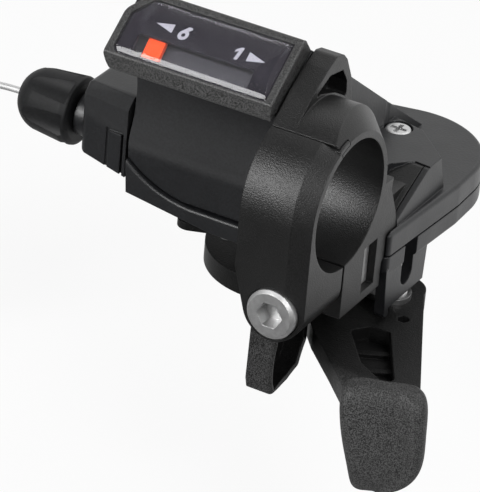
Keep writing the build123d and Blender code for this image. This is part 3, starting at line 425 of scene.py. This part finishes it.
shell = plastic("shell_satin", grey(0.006, 0.06), grey(0.01, 0.06), rough=(0.38, 0.46),
                grain=0.4 * MM, grain_depth=0.02 * MM, shine=0.7, matt_within=TROUGH_REACH)
grained = plastic("grained_nylon", grey(0.003), grey(0.011), rough=(0.38, 0.46),
                  grain=0.19 * MM, grain_depth=0.05 * MM, shine=0.6)
# Levers: their pads painted lighter than their arms, as painted light
lever = plastic("lever_nylon", grey(0.003), grey(0.008), rough=(0.42, 0.52),
                grain=0.2 * MM, grain_depth=0.05 * MM, shine=0.25, lit_pad_tones=(grey(0.013), grey(0.074)))
case = plastic("case_plastic", grey(0.01), grey(0.075), rough=(0.38, 0.48),
               grain=0.2 * MM, grain_depth=0.06 * MM, shine=0.6)
knob = plastic("knob_plastic", grey(0.006, 0.03), grey(0.01, 0.03), rough=(0.5, 0.6),
               grain=0.4 * MM, grain_depth=0.006 * MM, edge=0.4 * MM, shine=0.35)
bright = metal("bright_plating", grey(0.6), grey(0.74), (0.42, 0.58), 0.25 * MM, (1, 1, 1))
steel = metal("plain_steel", grey(0.3), grey(0.42), (0.3, 0.5), 0.15 * MM, (1, 6, 1))
spring = metal("spring_steel", grey(0.22), grey(0.3), (0.25, 0.4), 0.15 * MM, (1, 1, 6))
brass = metal("insert_brass", (0.5, 0.34, 0.12), (0.62, 0.45, 0.18), (0.25, 0.4), 0.2 * MM, (1, 1, 4))
strand = metal("wire_strands", grey(0.66), grey(0.8), (0.55, 0.7), 0.3 * MM, (1, 4, 4))
acetal = plastic("spool_acetal", grey(0.42), grey(0.48), rough=(0.35, 0.45),
                 grain=0.4 * MM, grain_depth=0.006 * MM)
strap = plastic("tie_strap", grey(0.012), grey(0.02), rough=(0.4, 0.55),
                grain=0.3 * MM, grain_depth=0.02 * MM)
lens = clear_plastic("lens_clear", (0.82, 0.81, 0.86), (0.88, 0.87, 0.92), shadow=(0.9, 0.9, 0.92))
dial = paint("dial_print", (0.02, 0.018, 0.023), (0.026, 0.024, 0.03), 0.45)
backing = paint("window_grey", (0.045, 0.045, 0.048), (0.055, 0.055, 0.058), 0.5)
ink = paint("white_ink", (0.3, 0.3, 0.33), (0.42, 0.42, 0.46), 0.5)
orange = paint("pointer_orange", (0.82, 0.065, 0.006), (0.92, 0.085, 0.01), 0.5)

FINISHES = {
    shell: ["upper_cover", "lower_cover", "cable_guide", "hub_cap"],
    grained: ["clamp_bracket", "clamp_band"],
    lever: ["main_lever", "release_lever"],
    case: ["display_housing"],
    knob: ["adjuster_barrel"],
    bright: ["clamp_bolt", "clamp_nut", "cover_screw", "tray_screws", "lever_rivet"],
    steel: ["base_plate", "main_axle", "ratchet_wheel", "thrust_washer", "lever_washer", "lever_plate",
            "pawl_pin", "drive_pawl", "holding_pawl", "holding_post"],
    spring: ["spool_spring", "lever_spring", "drive_spring", "holding_spring"],
    brass: ["axle_insert"],
    strand: ["cable_inner", "cable_wound", "cable_head", "cable_run", "cable_coil"],
    acetal: ["cable_spool"],
    strap: ["cable_tie"],
    lens: ["display_lens"],
    dial: ["dial_plate"],
    orange: ["gear_pointer"],
}


# Outlines and prisms
def prism(name, outline, thick):
    """Mesh of a counterclockwise outline in millimetres, made thick along Z."""
    count = len(outline)
    low = [(a * MM, b * MM, 0.0) for a, b in outline]
    high = [(a, b, thick) for a, b, _ in low]
    sides = [(k, (k + 1) % count, count + (k + 1) % count, count + k) for k in range(count)]
    faces = [tuple(reversed(range(count))), tuple(range(count, 2 * count))] + sides
    mesh = bpy.data.meshes.new(name)
    mesh.from_pydata(low + high, [], faces)
    return mesh


def grown(outline, by):
    """Clockwise outline moved outwards by a distance, or a counterclockwise one moved inwards."""
    made = []
    for before, here, after in zip(outline[-1:] + outline[:-1], outline, outline[1:] + outline[:1]):
        along = (Vector(here) - Vector(before)).normalized()
        onward = (Vector(after) - Vector(here)).normalized()
        side = Vector((-along.y, along.x))
        corner = (side + Vector((-onward.y, onward.x))).normalized()
        made.append(tuple(Vector(here) + corner * (by / corner.dot(side))))
    return made


def arc(centre, radius, start, stop, steps):
    angles = [radians(start + (stop - start) * k / steps) for k in range(steps + 1)]
    return [(centre[0] + radius * cos(a), centre[1] + radius * sin(a)) for a in angles]


# Dial artwork on the display's face: x along the bar, u up the face, n out of it
def on_face(piece, material, x, u, n):
    along = Vector((1, 0, 0))
    up_face = Vector((0, cos(FACE_TILT), sin(FACE_TILT)))
    out = Vector((0, -sin(FACE_TILT), cos(FACE_TILT)))
    place = Vector((x, FACE_Y, FACE_Z)) + up_face * u + out * n
    piece.matrix_world = turned(place, along, up_face, out)
    dress(piece, material)
    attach(piece, "housing")


def add_arrow(name, outline, at):
    made = add_object(name, prism(name, outline, INK_T))
    on_face(made, ink, *at, DIAL_TOP + INK_GAP)


def add_numeral(name, outlines, at):
    """Printed figure: closed outlines in millimetres about its middle, an inner one making a hole."""
    data = bpy.data.curves.new(name, "CURVE")
    data.dimensions = "2D"
    data.fill_mode = "BOTH"
    # Each point's radius carries the millimetre, so that the curve's own box fits it
    data.extrude = INK_T / MM / 2
    for outline in outlines:
        spline = data.splines.new("POLY")
        spline.points.add(len(outline) - 1)
        for place, (a, b) in zip(spline.points, outline):
            place.co = ((a + ITALIC * b) * MM, b * MM, 0.0, 1.0)
            place.radius = MM
        spline.use_cyclic_u = True
    on_face(add_object(name, data), ink, *at, DIAL_TOP + INK_T / 2 + INK_GAP)


def add_window_back():
    wide = ((WINDOW_X[1] - WINDOW_X[0]) / 2 + BACKING_MARGIN_X) / MM
    tall = ((WINDOW_U[1] - WINDOW_U[0]) / 2 + BACKING_MARGIN_U) / MM
    outline = [(-wide, -tall), (wide, -tall), (wide, tall), (-wide, tall)]
    made = add_object("window_back", prism("window_back", outline, BACKING_T))
    on_face(made, backing, sum(WINDOW_X) / 2, sum(WINDOW_U) / 2, BACKING_N)


def add_dial_artwork():
    add_arrow("arrow_high", ARROW_HIGH, ARROW_HIGH_AT)
    add_arrow("arrow_low", ARROW_LOW, ARROW_LOW_AT)
    six = SIX_TAIL + arc(SIX_BOWL, SIX_BOWL_R, *SIX_BOWL_ANGLES, steps=24)
    hole = arc(SIX_BOWL, SIX_HOLE_R, *SIX_HOLE_ANGLES, steps=14)
    add_numeral("numeral_six", [six, hole], SIX_AT)
    add_numeral("numeral_one", [ONE], ONE_AT)
    add_window_back()


# Wall that closes the lever's window below its plate
def add_window_wall():
    count = len(LEVER_WINDOW)
    loops = [LEVER_WINDOW, grown(LEVER_WINDOW, WINDOW_WALL_T)]
    points = [(x * MM, y * MM, z * MM) for z in WINDOW_WALL_Z for loop in loops for x, y in loop]
    # Four loops of points: inner and outer at the foot, inner and outer at the head
    sides = [(0, 2), (2, 3), (3, 1), (1, 0)]
    faces = []
    for low, high in sides:
        for k in range(count):
            after = (k + 1) % count
            faces.append((low * count + k, low * count + after, high * count + after, high * count + k))
    mesh = bpy.data.meshes.new("window_wall")
    mesh.from_pydata(points, [], faces)
    wall = add_object("window_wall", mesh)
    dress(wall, lever)
    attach(wall, "thumb_lever")


# Release lever with its pad hollowed from the outboard side
def release_hollow():
    """The space inside the pad's walls, open outboard."""
    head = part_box("release_lever")[1][2] / MM - RELEASE_PLATE_T
    side = [(RELEASE_HEAD_Y[0], head), *RELEASE_SIDE, (RELEASE_HEAD_Y[1], head)]
    inner_x = RELEASE_X[0] + RELEASE_WALL
    deep = RELEASE_X[1] - inner_x + HOLLOW_SPARE
    hollow = add_object("hollow", prism("hollow", grown(side, RELEASE_WALL), deep * MM))
    out = Vector((1, 0, 0))
    hollow.matrix_world = turned(out * inner_x * MM, Vector((0, 1, 0)), Vector((0, 0, 1)), out)
    return hollow


def add_release_lever():
    hollow = release_hollow()
    made = add_object("release_pad", nodes["release_lever"].data.copy())
    cut = made.modifiers.new("hollow", "BOOLEAN")
    cut.object = hollow
    cut.solver = "EXACT"
    bpy.context.view_layer.update()
    cut_mesh = bpy.data.meshes.new_from_object(made.evaluated_get(bpy.context.evaluated_depsgraph_get()))
    made.modifiers.clear()
    made.data = cut_mesh
    bpy.data.objects.remove(hollow)
    dress(made, lever)
    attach(made, "release_lever")
    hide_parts("release_lever")


# Light and surroundings: a white sweep behind the part, dim towards the viewer
class Surroundings(Nodes):
    """Node tree in which a white stands in for the lit surface, by the kind of ray."""

    def __init__(self, tree):
        super().__init__(tree)
        self.path = self.add("ShaderNodeLightPath").outputs

    def seen(self):
        """1 for rays that see it directly or through the lens."""
        return self.math("MAXIMUM", self.path["Is Camera Ray"], self.path["Is Transmission Ray"])

    def white(self, place, fade, brightest):
        """Strength of the white: 1 where it is seen, and in gloss less towards the front."""
        return self.math("MAXIMUM", self.seen(), self.along_y(place, fade, FRONT_SHINE, brightest))

    def stand_in(self, direct, plain, white, output):
        """White in place of the plain shader: the direct share of it when seen, and all of it in gloss."""
        shown = self.math("MULTIPLY", self.seen(), direct)
        node = self.add("ShaderNodeMixShader")
        self.link(self.math("MAXIMUM", shown, self.path["Is Glossy Ray"]), node.inputs["Fac"])
        self.link(plain, node.inputs[1])
        self.link(white, node.inputs[2])
        self.link(node.outputs[0], self.tree.nodes[output].inputs["Surface"])


def add_world():
    world = bpy.data.worlds.new("studio")
    scene.world = world
    world.use_nodes = True
    around = Surroundings(world.node_tree)
    plain = world.node_tree.nodes["Background"]
    plain.inputs["Color"].default_value = (1, 1, 1, 1)
    plain.inputs["Strength"].default_value = WORLD_LEVEL
    white = around.add("ShaderNodeBackground")
    white.inputs["Color"].default_value = (1, 1, 1, 1)
    around.link(around.white(around.place["Generated"], WORLD_FADE, WORLD_BACK), white.inputs["Strength"])
    around.stand_in(1.0, plain.outputs[0], white.outputs[0], "World Output")


def add_floor():
    z = cad_box[0][2] - FLOOR_DROP
    corners = [(-1, -1), (1, -1), (1, 1), (-1, 1)]
    mesh = bpy.data.meshes.new("floor")
    mesh.from_pydata([(x * FLOOR_REACH, y * FLOOR_REACH, z) for x, y in corners], [], [(0, 1, 2, 3)])
    floor = add_object("floor", mesh)
    material = bpy.data.materials.new("floor_white")
    material.use_nodes = True
    around = Surroundings(material.node_tree)
    plain = material.node_tree.nodes["Principled BSDF"]
    plain.inputs["Base Color"].default_value = (FLOOR_TONE, FLOOR_TONE, FLOOR_TONE, 1)
    plain.inputs["Roughness"].default_value = FLOOR_ROUGH
    white = around.add("ShaderNodeEmission")
    around.link(around.white(around.place["Object"], FLOOR_FADE, FLOOR_BACK), white.inputs["Strength"])
    around.stand_in(FLOOR_WHITE, plain.outputs[0], white.outputs[0], "Material Output")
    dress(floor, material)


def add_softbox(name, place, size, power):
    data = bpy.data.lights.new(name, "AREA")
    data.size = size
    data.energy = power
    lamp = add_object(name, data)
    lamp.location = place
    lamp.rotation_euler = (LAMP_AIM - Vector(place)).to_track_quat("-Z", "Y").to_euler()


add_camera()
wire = add_wire()
for material, names in FINISHES.items():
    for name in names:
        dress(nodes[name], material)
dress(wire, strand)
add_dial_artwork()
add_window_wall()
add_release_lever()
add_world()
for lamp in LAMPS:
    add_softbox(**lamp)
add_floor()

bpy.context.view_layer.update()
